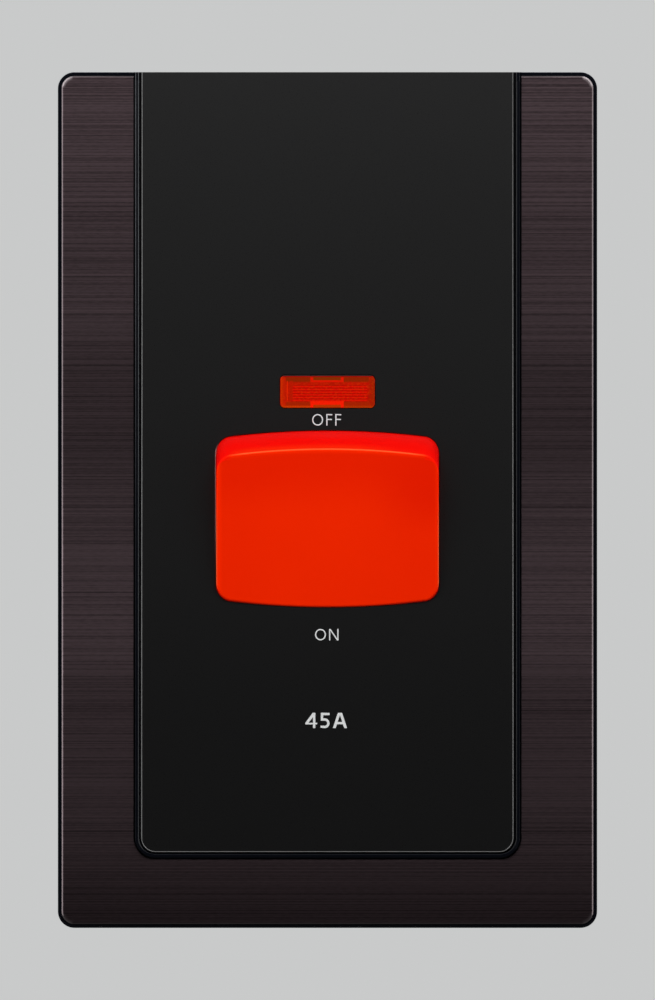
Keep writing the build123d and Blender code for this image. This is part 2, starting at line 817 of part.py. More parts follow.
pieces = {
    "mounting_frame": mounting_frame(),
    "cover_frame": cover_frame(),
    "brushed_trim": brushed_trim(),
    "centre_panel": centre_panel(),
    "rocker": rocker(),
    "neon_lens": neon_lens(),
    "neon_lamp": neon_lamp(),
    "lamp_resistor": lamp_resistor(),
    "lamp_lead_line": lamp_lead_line(),
    "lamp_lead_neutral": lamp_lead_neutral(),
    "switch_housing": switch_housing(),
    "terminal_base": terminal_base(),
    "terminal_screws": terminal_screws(),
    "housing_screws": housing_screws(),
    "frame_screws": frame_screws(),
}
for pole, x in (("line", -pole_x), ("neutral", pole_x)):
    pieces[f"{pole}_plunger"] = plunger(x)
    pieces[f"{pole}_plunger_spring"] = plunger_spring(x)
    pieces[f"{pole}_moving_contact"] = moving_contact(x)
    pieces[f"{pole}_moving_tip"] = moving_tip(x)
    pieces[f"{pole}_feed_bar"] = feed_bar(x)
    pieces[f"{pole}_output_bar"] = output_bar(x)
    pieces[f"{pole}_fixed_tip"] = fixed_tip(x)
    pieces[f"{pole}_in_terminal"] = terminal(x, -1)
    pieces[f"{pole}_out_terminal"] = terminal(x, 1)

upright = Rot(90, 0, 0)
os.makedirs("parts", exist_ok=True)
for name, piece in pieces.items():
    export_step(upright * piece, f"parts/{name}.step")
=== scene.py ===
import json
import math

import bpy
import numpy as np
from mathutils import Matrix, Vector


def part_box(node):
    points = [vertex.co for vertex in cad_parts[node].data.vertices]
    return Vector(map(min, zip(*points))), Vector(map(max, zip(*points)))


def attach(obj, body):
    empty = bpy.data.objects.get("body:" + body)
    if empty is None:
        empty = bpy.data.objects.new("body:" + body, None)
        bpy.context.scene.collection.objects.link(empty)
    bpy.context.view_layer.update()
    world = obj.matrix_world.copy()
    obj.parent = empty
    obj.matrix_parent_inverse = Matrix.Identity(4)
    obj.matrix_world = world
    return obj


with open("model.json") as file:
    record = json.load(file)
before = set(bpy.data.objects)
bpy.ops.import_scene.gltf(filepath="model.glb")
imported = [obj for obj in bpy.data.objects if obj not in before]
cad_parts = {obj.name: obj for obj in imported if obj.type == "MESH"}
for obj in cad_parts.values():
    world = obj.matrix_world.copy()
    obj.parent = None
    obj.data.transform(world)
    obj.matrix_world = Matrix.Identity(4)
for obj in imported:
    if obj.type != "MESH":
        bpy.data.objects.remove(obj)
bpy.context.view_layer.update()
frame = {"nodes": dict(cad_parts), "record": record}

# The photograph is 655 x 1000 and looks straight at the plate, with the plate between these two rows
PHOTO_HEIGHT = 1000
PLATE_TOP_ROW = 72.18
PLATE_BOTTOM_ROW = 927.89

# Metres
MM = 0.001
LETTER_THICKNESS = 0.02 * MM
CAMERA_DISTANCE = 2.0

# Millimetres on the object, x to the right of the plate's middle and z above it
RIM_X, RIM_Z = 44.0, 71.0  # where the outer rim starts
SIDE_TOP, SIDE_FOOT = 60.0, -40.0  # heights between which the upright edges lose their light
PANEL_HALF, PANEL_FOOT, PANEL_CORNER = 31.85, 60.1, 2.5  # half width, foot below the middle, radius
BEAD_INNER, BEAD_MIDDLE, BEAD_OUTER = 32.24, 32.46, 32.72  # across the bead beside the panel
LINE_HALF, LINE_SOFT = 0.06, 0.03  # half width and soft edge of the bead's pale lines
TRIM_CORNER_X, TRIM_CORNER_Z = 43.2, 70.2  # centres of the trim's rounded corners
ROCKER_FACE = 7.4  # from the pivot to the face
ROCKER_TILT = math.radians(12.0)
FACE_TOP, FACE_BOW = 8.7, 0.0033  # upper edge of the face, and its fall per square millimetre to the sides
FACE_CORNER_X, FACE_CORNER_Z, FACE_CORNER = 16.8, 4.6, 2.1  # centres and radius of the face's upper corners
LENS_HEIGHT, LENS_CORNER = 5.6, 0.8
RIB_TOP, RIB_PITCH, RIB_COUNT = 1.97, 0.46, 6  # the first rib lies this far below the lens's top edge
GROOVE_TOP, GROOVE_FOOT = 1.0, 4.3  # the groove at the lens's left end, below the top edge too
TAB_MIDDLE, TAB_HALF, TAB_WALL = -0.08, 2.85, 0.5  # the lens's snap legs
THIN_STROKE, BOLD_STROKE = 0.20, 0.40  # of the printed letters

BRONZE = (0.115, 0.081, 0.090)
BRONZE_RANGE = 4.4  # the brightest brushed line, in multiples of that colour
BLACK = (0.0, 0.0, 0.0)

panel_low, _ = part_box("centre_panel")
plate_low, plate_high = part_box("cover_frame")
trim_low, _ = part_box("brushed_trim")
lens_low, lens_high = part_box("neon_lens")
resistor_low, resistor_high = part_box("lamp_resistor")
pivots = {joint["name"]: joint["pos_m"] for joint in frame["record"]["behaviour"]["joints"]}


class Finish:
    """A procedural finish whose patterns are read in Object coordinates, in millimetres."""

    def __init__(self, name, colour, roughness, metallic=0.0):
        self.material = bpy.data.materials.new(name)
        self.material.use_nodes = True
        self.tree = self.material.node_tree
        self.shader = self.tree.nodes["Principled BSDF"]
        self.set("Base Color", (*colour, 1.0))
        self.set("Roughness", roughness)
        self.set("Metallic", metallic)
        self.place = self.node("ShaderNodeTexCoord").outputs["Object"]

    def set(self, socket, value):
        """A value that is the same all over the surface."""
        self.shader.inputs[socket].default_value = value

    def node(self, kind, **settings):
        """A new node with its settings."""
        made = self.tree.nodes.new(kind)
        for setting, value in settings.items():
            setattr(made, setting, value)
        return made

    def join(self, source, target):
        """A link from one socket to another."""
        self.tree.links.new(source, target)

    def feed(self, source, socket):
        """A link to one of the shader's own sockets."""
        self.join(source, self.shader.inputs[socket])

    def painted(self):
        """The colour that feeds the shader so far."""
        return self.shader.inputs["Base Color"].links[0].from_socket

    def along(self, axis):
        """Object coordinate along one axis, in millimetres."""
        split = self.node("ShaderNodeSeparateXYZ")
        self.join(self.place, split.inputs[0])
        return self.math("MULTIPLY", split.outputs[axis], 1.0 / MM)

    def behind(self, front):
        """Millimetres behind an upright plane whose y is given in metres."""
        return self.less(self.along(1), front / MM)

    def math(self, operation, *values):
        """One arithmetic step on sockets and plain numbers."""
        made = self.node("ShaderNodeMath", operation=operation)
        for socket, value in zip(made.inputs, values):
            if isinstance(value, (int, float)):
                socket.default_value = value
            else:
                self.join(value, socket)
        return made.outputs[0]

    def product(self, first, *others):
        """The values multiplied together."""
        for other in others:
            first = self.math("MULTIPLY", first, other)
        return first

    def total(self, first, *others):
        """The values added up."""
        for other in others:
            first = self.math("ADD", first, other)
        return first

    def largest(self, first, *others):
        """The largest of the values."""
        for other in others:
            first = self.math("MAXIMUM", first, other)
        return first

    def less(self, value, taken):
        """A value less another one."""
        return self.math("SUBTRACT", value, taken)

    def size(self, value):
        """A value without its sign."""
        return self.math("ABSOLUTE", value)

    def span(self, value, low, high, start=0.0, end=1.0):
        """Value carried from low-high to start-end along a smooth step."""
        made = self.node("ShaderNodeMapRange", interpolation_type="SMOOTHSTEP")
        numbers = {"From Min": low, "From Max": high, "To Min": start, "To Max": end}
        for socket, number in numbers.items():
            made.inputs[socket].default_value = number
        self.join(value, made.inputs["Value"])
        return made.outputs["Result"]

    def strip(self, value, middle, half, soft):
        """1 within a half width of the middle and 0 beyond it, over a soft edge."""
        return self.span(self.size(self.less(value, middle)), half + soft, half - soft)

    def reach(self, across, across_start, along, along_start):
        """Distance from a rounded corner's centre: the root of the squares of what lies past each start."""
        past_across = self.largest(self.less(across, across_start), 0.0)
        past_along = self.largest(self.less(along, along_start), 0.0)
        squares = [self.math("POWER", past, 2.0) for past in (past_across, past_along)]
        return self.math("SQRT", self.total(*squares))

    def noise(self, per_mm, detail=3.0, rough=0.55):
        """Fractal noise with so many features per millimetre along each axis."""
        mapping = self.node("ShaderNodeMapping", vector_type="POINT")
        mapping.inputs["Scale"].default_value = np.array(per_mm) / MM
        self.join(self.place, mapping.inputs["Vector"])
        noise = self.node("ShaderNodeTexNoise")
        noise.inputs["Scale"].default_value = 1.0
        noise.inputs["Detail"].default_value = detail
        noise.inputs["Roughness"].default_value = rough
        self.join(mapping.outputs["Vector"], noise.inputs["Vector"])
        return noise.outputs["Fac"]

    def tint(self, fac, first, second):
        """Colour that goes from first to second with fac; either may be a socket."""
        made = self.node("ShaderNodeMix", data_type="RGBA")
        for name, value in (("A", first), ("B", second)):
            socket = next(s for s in made.inputs if s.name == name and s.type == "RGBA")
            if isinstance(value, tuple):
                socket.default_value = (*value, 1.0)
            else:
                self.join(value, socket)
        self.join(fac, made.inputs["Factor"])
        return next(s for s in made.outputs if s.type == "RGBA")

    def bump(self, height, depth_mm):
        """Relief of the surface by a height of 0 to 1 times a depth."""
        made = self.node("ShaderNodeBump")
        made.inputs["Strength"].default_value = 1.0
        made.inputs["Distance"].default_value = depth_mm * MM
        self.join(height, made.inputs["Height"])
        self.feed(made.outputs["Normal"], "Normal")


def moulded_plastic(name, colour, roughness, grain_mm=0.012, mottle=0.12):
    """Moulded plastic: a fine spark-eroded grain, faint flow mottling and uneven gloss."""
    finish = Finish(name, colour, roughness)
    grain = finish.noise((7.0, 7.0, 7.0), detail=2.0)
    flow = finish.noise((0.12, 0.12, 0.12), detail=2.0)
    dark = tuple(channel * (1.0 - mottle) for channel in colour)
    light = tuple(channel * (1.0 + mottle) for channel in colour)
    finish.feed(finish.tint(flow, dark, light), "Base Color")
    finish.feed(finish.span(grain, 0.3, 0.7, roughness - 0.05, roughness + 0.05), "Roughness")
    finish.bump(grain, grain_mm)
    return finish


def panel_satin():
    """Satin black panel with a fine grain, darker in its lower half by painted shade. What lies just behind
    its face is
    bevelled: a thin grey line of painted highlight runs down the sides and along the foot, further back in
    the bevel lower down, and a painted highlight lies pale on the left of the rocker's window above the
    middle. The lens seat stays black."""
    face_black, shaded_lower_black = (0.0049, 0.0049, 0.0050), (0.0039, 0.0039, 0.0040)
    panel_side_highlight, panel_foot_highlight, panel_bevel_dark = (0.17, 0.17, 0.17), (0.35, 0.35, 0.35), (0.006, 0.006, 0.006)
    window_black, window_highlight, seat_black = (0.02, 0.02, 0.02), (0.62, 0.58, 0.54), (0.004, 0.004, 0.004)
    face_gleam, bevel_gleam = (1.0, 1.0, 1.0), (0.15, 0.15, 0.15)
    finish = moulded_plastic("panel_black", face_black, 0.32, grain_mm=0.004, mottle=0.06)
    x = finish.along(0)
    z = finish.along(2)
    # The lower half of the face is darkened by painted shade.
    face = finish.tint(finish.span(z, -5.0, -40.0), finish.painted(), shaded_lower_black)
    behind = finish.behind(panel_low.y)
    bevel = finish.span(behind, 0.01, 0.04)

    # Painted highlight: a thin grey line in the bevel, brighter along the foot and lying deeper in the bevel
    # lower down.
    right_side = finish.span(x, 30.0, 31.0)
    inward = finish.product(right_side, finish.span(z, SIDE_TOP, SIDE_FOOT, 0.03, 0.07))
    drift = finish.less(finish.span(z, SIDE_TOP, SIDE_FOOT, 0.065, 0.175), inward)
    line = finish.strip(finish.less(behind, drift), 0.0, 0.055, 0.03)
    foot = finish.span(z, -58.0, -59.6)
    outline = finish.tint(line, panel_bevel_dark, finish.tint(foot, panel_side_highlight, panel_foot_highlight))

    # Painted highlight on the left of the rocker's window, above the middle.
    to_left = finish.span(x, 10.0, -18.0)
    window_glint = finish.product(to_left, finish.span(z, -14.0, 2.0), finish.span(z, 10.0, 8.0))
    window = finish.tint(window_glint, window_black, window_highlight)
    openings = finish.tint(finish.span(z, 14.0, 15.0), window, seat_black)
    inside = finish.product(finish.strip(x, 0.0, 25.0, 1.0), finish.span(z, -57.0, -55.0))
    edges = finish.tint(inside, outline, openings)
    finish.feed(finish.tint(bevel, face, edges), "Base Color")
    finish.feed(finish.tint(bevel, face_gleam, bevel_gleam), "Specular Tint")
    return finish


def cover_gloss():
    """Bluish black of the surround, polished along its outer rim and softer on the bead beside the panel,
    with painted light making the rim's foot a little lighter. A pale line of painted highlight runs down the
    bead's inner edge and round its lower corners, paler on the left, and one down its left outer edge. The
    bead is dull along its foot, its right edge and the lower part of its left edge, and so is the front of
    the rim's crown."""
    black, foot_lit_black = (0.0024, 0.0029, 0.0046), (0.0055, 0.0060, 0.0080)
    upper_left_highlight, lower_left_highlight, right_highlight = (0.074, 0.076, 0.079), (0.045, 0.046, 0.048), (0.028, 0.028, 0.029)
    outer_highlight = (0.055, 0.057, 0.060)
    gleam, dull_gleam = (0.88, 0.93, 1.0), (0.08, 0.08, 0.09)
    finish = moulded_plastic("cover_black", black, 0.18, grain_mm=0.001, mottle=0.08)
    x = finish.along(0)
    z = finish.along(2)
    away = finish.size(x)
    falling = finish.span(z, SIDE_TOP, SIDE_FOOT)
    x_rim = finish.span(away, RIM_X, RIM_X + 1.0)
    z_rim = finish.span(finish.size(z), RIM_Z, RIM_Z + 1.0)
    rim = finish.largest(x_rim, z_rim)
    finish.feed(finish.span(rim, 0.0, 1.0, 0.2, 0.05), "Roughness")

    # Painted light: the rim's foot is made lighter than the rest of the black.
    colour = finish.tint(finish.span(z, -71.5, -72.4), finish.painted(), foot_lit_black)
    # Painted highlights: pale lines on the bead's edges, brighter higher up on the left.
    pale = finish.tint(falling, upper_left_highlight, lower_left_highlight)
    pale = finish.tint(finish.span(x, -1.0, 1.0), pale, right_highlight)
    down = finish.product(z, -1.0)
    reach = finish.reach(away, PANEL_HALF - PANEL_CORNER, down, PANEL_FOOT - PANEL_CORNER)
    bead = PANEL_CORNER + BEAD_INNER - PANEL_HALF
    line = finish.product(finish.strip(reach, bead, LINE_HALF, LINE_SOFT), finish.span(z, -60.5, -58.5))
    colour = finish.tint(line, colour, pale)
    outer = finish.product(finish.strip(x, -BEAD_OUTER, LINE_HALF, LINE_SOFT), finish.span(z, -20.0, 70.0))
    finish.feed(finish.tint(outer, colour, outer_highlight), "Base Color")

    right = finish.span(x, BEAD_MIDDLE - 0.05, BEAD_MIDDLE + 0.1)
    left = finish.product(finish.span(x, 0.05 - BEAD_MIDDLE, -0.1 - BEAD_MIDDLE), falling)
    inner = finish.span(reach, bead, bead - 0.05)
    below = finish.span(z, -59.0, -60.0)
    edge = finish.largest(left, right, inner, below)
    near_front = finish.span(finish.behind(plate_low.y), 2.5, 1.5, 0.0, 0.8)
    crown = finish.product(finish.span(z, 72.2, 72.5), near_front)
    dull = finish.largest(finish.product(edge, finish.less(1.0, rim)), crown)
    finish.feed(finish.tint(dull, gleam, dull_gleam), "Specular Tint")
    return finish


def brushed_bronze():
    """Dark bronze anodised sheet brushed across: long thin lines in colour, gloss and relief. Painted light
    and shade
    follow the height in soft steps: paler in a band above the middle and below it, darker towards the foot,
    with painted light as a pale edge under the panel and along the top. The bevel round the outside is
    polished and carries a painted highlight, dimmed by painted shade at the top, which widens to a painted
    crescent in each corner. The inner bevel is not polished; its tone is painted light."""
    polished_bevel_highlight, polished_corner_highlight, crescent_highlight = (0.18, 0.15, 0.157), (0.33, 0.29, 0.30), (0.58, 0.50, 0.52)
    top_bevel_shade, top_bevel_end_highlight, inner_bevel_light = (0.066, 0.055, 0.058), (0.105, 0.088, 0.092), (0.050, 0.040, 0.043)
    finish = Finish("bronze_metal", BRONZE, 0.36, metallic=1.0)
    away = finish.size(finish.along(0))
    z = finish.along(2)
    up_or_down = finish.size(z)

    hair = finish.noise((0.003, 1.0, 3.6), detail=1.0, rough=0.9)
    short = finish.noise((0.8, 1.0, 4.5), detail=1.0, rough=0.8)
    streak = finish.noise((0.002, 1.0, 0.2), detail=2.0, rough=0.6)
    shares = ((hair, 0.64), (short, 0.20), (streak, 0.16))
    lines = finish.total(*(finish.product(pattern, share) for pattern, share in shares))

    # Painted light and shade by height: paler below the middle and in a band near the top third, darker
    # towards the foot.
    fading = finish.total(finish.span(z, -72.0, -50.0, 0.0, 0.42), finish.span(z, -34.0, -23.0, 0.0, 0.6))
    below_middle = finish.total(finish.product(finish.span(z, 18.0, -22.0), fading), 1.0)
    band = finish.product(finish.strip(z, 32.0, 6.0, 6.0), 0.2)
    upper = finish.total(finish.span(z, 20.0, 42.0, 0.0, 0.10), band)
    height = finish.total(finish.span(z, 20.0, -60.0, 1.06, 1.23), upper)
    foot = finish.span(z, -72.0, -60.0, 0.80, 1.0)
    # Painted light: a pale edge on the trim just under the panel and along its top.
    under_panel_light = finish.product(finish.span(z, -61.85, -61.35, 0.0, 1.4), finish.span(away, 31.0, 28.5))
    top_light = finish.span(z, 71.98, 72.12, 1.0, 1.7)
    contrast = finish.span(lines, 0.25, 0.75, 0.3, 1.7)
    tone = finish.product(contrast, below_middle, height, foot, finish.total(under_panel_light, 1.0), top_light)
    brightest = tuple(BRONZE_RANGE * channel for channel in BRONZE)
    brushed = finish.tint(finish.math("DIVIDE", tone, BRONZE_RANGE), BLACK, brightest)

    behind = finish.span(finish.behind(trim_low.y), 0.02, 0.06)
    x_outside = finish.span(away, RIM_X, RIM_X + 0.4)
    z_outside = finish.span(up_or_down, RIM_Z, RIM_Z + 0.4)
    outside = finish.largest(x_outside, z_outside)
    # The outer bevel is polish plus painted highlight, dimmed by painted shade along the top; a painted
    # highlight  crescent lies on the face in each corner.
    x_corner = finish.span(away, TRIM_CORNER_X + 0.1, TRIM_CORNER_X + 0.7)
    z_corner = finish.span(up_or_down, TRIM_CORNER_Z + 0.1, TRIM_CORNER_Z + 0.7)
    corner = finish.product(x_corner, z_corner)
    reach = finish.reach(away, TRIM_CORNER_X, up_or_down, TRIM_CORNER_Z)
    crescent_highlight_mask = finish.product(corner, finish.span(reach, 1.45, 1.92), finish.span(z, -70.0, 60.0, 0.25, 1.0))
    # Painted light: the inner bevel is made non-metal with a tone that stands in for the light it would
    # reflect.
    inner = finish.product(behind, finish.less(1.0, outside))
    brushed = finish.tint(inner, finish.tint(crescent_highlight_mask, brushed, crescent_highlight), inner_bevel_light)
    top_edge = finish.tint(finish.span(away, 34.0, 43.0), top_bevel_shade, top_bevel_end_highlight)
    edge = finish.tint(finish.span(z, 70.5, 71.5), polished_bevel_highlight, top_edge)
    polish_and_highlight = finish.tint(corner, edge, polished_corner_highlight)
    finish.feed(finish.tint(finish.product(behind, outside), brushed, polish_and_highlight), "Base Color")
    finish.feed(finish.span(inner, 0.0, 1.0, 1.0, 0.0), "Metallic")
    finish.feed(finish.span(lines, 0.35, 0.65, 0.38, 0.32), "Roughness")
    finish.bump(hair, 0.003)
    return finish


def rocker_gloss():
    """Red moulding with a soft gloss and a faint ripple. Its tilted face is a warmer red than its curved end
    walls, deeper by painted shade towards its upper end, its sides and its upper right, with a painted
    highlight along its upper edge and sides and a redder tone in its upper corners. A pale line of painted
    highlight runs along the rounded edge at the upper end and down the sides. How far a point lies under the
    face is the face's distance from the pivot, less the point's own distance along the face's direction."""
    wall_dark, wall_light, wall_warm = (0.68, 0.0016, 0.0008), (0.735, 0.0028, 0.0010), (0.71, 0.012, 0.0010)
    face_dark, face_light = (0.785, 0.0162, 0.0), (0.845, 0.0192, 0.0)
    face_shaded, face_right_shaded = (0.745, 0.0123, 0.0), (0.72, 0.0100, 0.0)
    face_edge_highlight, corner_red, crease_highlight = (0.92, 0.0195, 0.0), (0.84, 0.0060, 0.0008), (0.80, 0.085, 0.022)
    finish = Finish("rocker_red", (0.8, 0.015, 0.0), 0.3)
    finish.set("Specular Tint", (1.0, 0.3, 0.08, 1.0))
    finish.set("Specular IOR Level", 0.04)
    across = finish.along(0)
    away = finish.size(across)
    z = finish.along(2)
    _, pivot_y, pivot_z = (1.0 / MM * metres for metres in pivots["rocker_pivot"])
    ahead = finish.product(finish.less(finish.along(1), pivot_y), -math.cos(ROCKER_TILT))
    lower = finish.product(finish.less(z, pivot_z), -math.sin(ROCKER_TILT))
    under = finish.less(ROCKER_FACE, finish.total(ahead, lower))
    flow = finish.noise((0.06, 0.06, 0.06), detail=2.0)

    wall = finish.tint(flow, wall_dark, wall_light)
    to_left = finish.span(across, 14.0, 3.0, 0.15, 1.0)
    warm = finish.product(to_left, finish.span(away, 17.5, 14.0), finish.span(under, 1.8, 0.4))
    wall = finish.tint(warm, wall, wall_warm)

    # Painted shade: the face darkens towards its upper end, its sides and its upper right.
    shade = finish.total(finish.span(z, -4.0, 7.0), finish.span(away, 4.0, 18.0, 0.0, 0.3))
    lit_face = finish.tint(flow, face_dark, face_light)
    face = finish.tint(finish.math("MINIMUM", shade, 1.0), lit_face, face_shaded)
    upper_right = finish.product(finish.span(across, 6.0, 18.5), finish.span(z, -8.0, 2.0))
    face = finish.tint(upper_right, face, face_right_shaded)
    # Painted highlight: a brighter red along the face's upper edge and its sides.
    bowed = finish.total(z, finish.product(finish.math("POWER", away, 2.0), FACE_BOW))
    rocker_left_highlight = finish.span(across, -17.8, -18.7, 0.0, 0.7)
    rocker_right_highlight = finish.span(across, 18.0, 18.8, 0.0, 0.4)
    rocker_side_highlight = finish.total(rocker_left_highlight, rocker_right_highlight)
    edge_highlight_mask = finish.largest(finish.span(bowed, FACE_TOP - 1.0, FACE_TOP), rocker_side_highlight)
    face = finish.tint(edge_highlight_mask, face, face_edge_highlight)
    reach = finish.reach(away, FACE_CORNER_X, z, FACE_CORNER_Z)
    past_corner = finish.span(reach, FACE_CORNER, FACE_CORNER + 0.25)
    corner = finish.product(past_corner, finish.span(away, FACE_CORNER_X - 0.5, FACE_CORNER_X + 0.2))
    face = finish.tint(corner, face, corner_red)

    colour = finish.tint(finish.span(under, 0.5, 0.1), wall, face)
    # Painted highlight: a pale line along the rounded edge at the upper end and down the sides.
    upper_end = finish.product(finish.span(away, 17.8, 14.0), finish.span(z, 0.0, 4.0))
    below_top = finish.span(z, 4.0, -8.0)
    above_foot = finish.span(z, -15.5, -14.0)
    sides = finish.product(finish.span(away, 17.0, 18.0), below_top, above_foot)
    crease_highlight_mask = finish.product(finish.strip(under, 0.16, 0.10, 0.06), finish.total(upper_end, sides))
    finish.feed(finish.tint(crease_highlight_mask, colour, crease_highlight), "Base Color")
    ripple = finish.noise((0.8, 0.8, 0.8), detail=2.0)
    grain = finish.noise((9.0, 9.0, 9.0), detail=1.0)
    finish.feed(finish.span(grain, 0.3, 0.7, 0.26, 0.34), "Roughness")
    finish.bump(ripple, 0.003)
    return finish


def lens_ribbed():
    """Red lens, clear on the real switch and opaque here. Its fine ribs, end ledges and two snap legs are
    painted on the smooth face as bright and dark strips, cloudy and mottled, in place of the light seen
    through it: a cosine of the distance below the top edge for the ribs, boxes with soft edges for the rest."""
    cloud_dark, cloud_light = (0.315, 0.0055, 0.0), (0.43, 0.007, 0.0)
    left_ledge, right_ledge = (0.41, 0.0115, 0.0), (0.28, 0.0105, 0.0)
    rib_dark, rib_light = (0.345, 0.0026, 0.0), (0.615, 0.0056, 0.0)
    mottle_warm, mottle_deep = (0.50, 0.021, 0.0), (0.41, 0.0, 0.0)
    upper_band, lower_band, foot_band = (0.22, 0.0135, 0.0), (0.305, 0.0130, 0.0), (0.44, 0.036, 0.0)
    left_rim, right_rim = (0.50, 0.030, 0.0), (0.25, 0.016, 0.0)
    groove, groove_edge = (0.38, 0.007, 0.0), (0.62, 0.017, 0.0)
    upper_leg, upper_hollow = (0.57, 0.0070, 0.0), (0.19, 0.021, 0.0)
    lower_leg, lower_hollow = (0.75, 0.0095, 0.0), (0.38, 0.028, 0.0)
    top_shadow_red, top_edge_shadow = (0.28, 0.003, 0.0), (0.02, 0.001, 0.0)
    finish = Finish("lens_red", (0.5, 0.008, 0.0), 0.2)
    finish.set("Specular IOR Level", 0.1)
    finish.set("Coat Weight", 0.15)
    finish.set("Coat Roughness", 0.05)
    x = finish.along(0)
    lens_top = (lens_low.z + lens_high.z) / 2 / MM + LENS_HEIGHT / 2
    down = finish.less(lens_top, finish.along(2))
    half = lens_high.x / MM
    foot = LENS_HEIGHT
    rib_foot = RIB_TOP + (RIB_COUNT - 1) * RIB_PITCH

    def box(middle, half_width, upper, lower, soft=0.06):
        """1 inside a box on the face and 0 outside it, over a soft edge."""
        inside_x = finish.strip(x, middle, half_width, soft)
        inside_z = finish.strip(down, (upper + lower) / 2, (lower - upper) / 2, soft)
        return finish.product(inside_x, inside_z)

    to_right = finish.span(x, -1.0, 1.0)
    cloud = finish.noise((0.5, 0.5, 0.9), detail=3.0)
    mottle = finish.noise((2.4, 1.0, 3.2), detail=2.0)
    wave = finish.math("COSINE", finish.product(finish.less(down, RIB_TOP), 2 * math.pi / RIB_PITCH))
    reach = finish.reach(finish.size(x), half - LENS_CORNER, down, foot - LENS_CORNER)
    ends = finish.span(finish.size(x), half - 1.1, half - 0.7)
    ledge = finish.tint(to_right, left_ledge, right_ledge)
    ribs = finish.tint(finish.span(wave, -0.6, 1.0), rib_dark, rib_light)
    rim = finish.tint(to_right, left_rim, right_rim)
    colour = finish.tint(finish.span(cloud, 0.3, 0.7), cloud_dark, cloud_light)
    for share, tone in (
        (ends, ledge),
        (box(0.3, half - 1.6, RIB_TOP - 0.25, rib_foot + 0.2, 0.15), ribs),
        (finish.span(mottle, 0.48, 0.66, 0.0, 0.5), mottle_warm),
        (finish.span(mottle, 0.50, 0.34, 0.0, 0.5), mottle_deep),
        (box(0.0, half - 1.0, 0.1, 1.15, 0.15), upper_band),
        (box(0.0, half - 1.0, rib_foot + 0.3, foot, 0.1), lower_band),
        (box(0.0, half, foot - 0.35, foot, 0.15), foot_band),
        (finish.strip(reach, LENS_CORNER - 0.3, 0.05, 0.12), rim),
        (box(1.9 - half, 0.25, GROOVE_TOP, GROOVE_FOOT, 0.15), groove),
        (box(1.23 - half, 0.08, GROOVE_TOP, GROOVE_FOOT), groove_edge),
        (box(TAB_MIDDLE, TAB_HALF, 0.0, 1.2), upper_leg),
        (box(TAB_MIDDLE, TAB_HALF - TAB_WALL, 0.0, 0.85), upper_hollow),
        (box(TAB_MIDDLE, TAB_HALF, 4.4, foot), lower_leg),
        (box(TAB_MIDDLE, TAB_HALF - TAB_WALL, 5.05, foot), lower_hollow),
        # Painted shadow along the lens's top edge, darkest right at the edge.
        (finish.span(down, 0.4, 0.3), top_shadow_red),
        (finish.span(down, 0.2, 0.12), top_edge_shadow),
    ):
        colour = finish.tint(share, colour, tone)
    finish.feed(colour, "Base Color")
    return finish


def turned_metal(name, colour, roughness, tarnish):
    """Machined or drawn metal: fine tool lines, cloudy tarnish and uneven gloss."""
    finish = Finish(name, colour, roughness, metallic=1.0)
    cloud = finish.noise((0.5, 0.5, 0.5), detail=3.0)
    lines = finish.noise((1.2, 9.0, 9.0), detail=2.0)
    dull = tuple(channel * tarnish for channel in colour)
    finish.feed(finish.tint(finish.span(cloud, 0.35, 0.7), colour, dull), "Base Color")
    finish.feed(finish.span(lines, 0.3, 0.7, roughness - 0.08, roughness + 0.08), "Roughness")
    finish.bump(lines, 0.006)
    return finish


def lamp_glass():
    """Clear lamp glass with a faint amber tint and a slight waviness."""
    finish = Finish("lamp_glass", (1.0, 0.86, 0.72), 0.03)
    finish.set("Transmission Weight", 1.0)
    finish.set("IOR", 1.5)
    finish.bump(finish.noise((0.7, 0.7, 0.7), detail=1.0), 0.02)
    return finish


def resistor_lacquer():
    """Tan lacquer with brown, black and gold bands across the body's length, each a tenth of it wide."""
    brown, black, gold = (0.25, 0.07, 0.02), (0.04, 0.04, 0.04), (0.7, 0.45, 0.02)
    finish = moulded_plastic("resistor_tan", (0.55, 0.40, 0.24), 0.35)
    colour = finish.painted()
    size = resistor_high - resistor_low
    axis = max(range(3), key=lambda i: size[i])
    along = finish.along(axis)
    for share, band in ((0.28, brown), (0.42, black), (0.56, gold)):
        middle = (resistor_low[axis] + share * size[axis]) / MM
        colour = finish.tint(finish.strip(along, middle, 0.05 * size[axis] / MM, 0.03), colour, band)
    finish.feed(colour, "Base Color")
    return finish


def printed_white():
    """White ink, slightly uneven in its cover, with a painted cool tint above the rocker that offsets the
    red light the rocker throws on it.
    """
    thin, full, cool_against_red_light = (0.58, 0.59, 0.59), (0.63, 0.64, 0.64), (0.545, 0.585, 0.595)
    finish = Finish("print_white", (0.58, 0.58, 0.58), 0.5)
    cover = finish.noise((4.0, 4.0, 4.0), detail=2.0)
    # Painted light: a cooler tint above the rocker offsets the red light thrown on the print.
    above = finish.span(finish.along(2), 0.0, 12.0)
    finish.feed(finish.tint(above, finish.tint(cover, thin, full), cool_against_red_light), "Base Color")
    finish.bump(cover, 0.002)
    return finish


def pale_floor():
    """Plain pale studio floor with a barely visible tooth."""
    finish = Finish("studio_floor", (0.55, 0.55, 0.55), 0.6)
    tooth = finish.noise((0.4, 0.4, 0.4), detail=2.0)
    finish.feed(finish.tint(tooth, (0.53, 0.535, 0.535), (0.57, 0.575, 0.575)), "Base Color")
    return finish


def rounded(centre, radii, start, end, count=40):
    """Points of an ellipse's arc: centre plus radii times the cosine and sine of angles from start to end,
    in degrees."""
    angle = np.radians(np.linspace(start, end, count))
    return np.array(centre) + np.array(radii) * np.column_stack([np.cos(angle), np.sin(angle)])


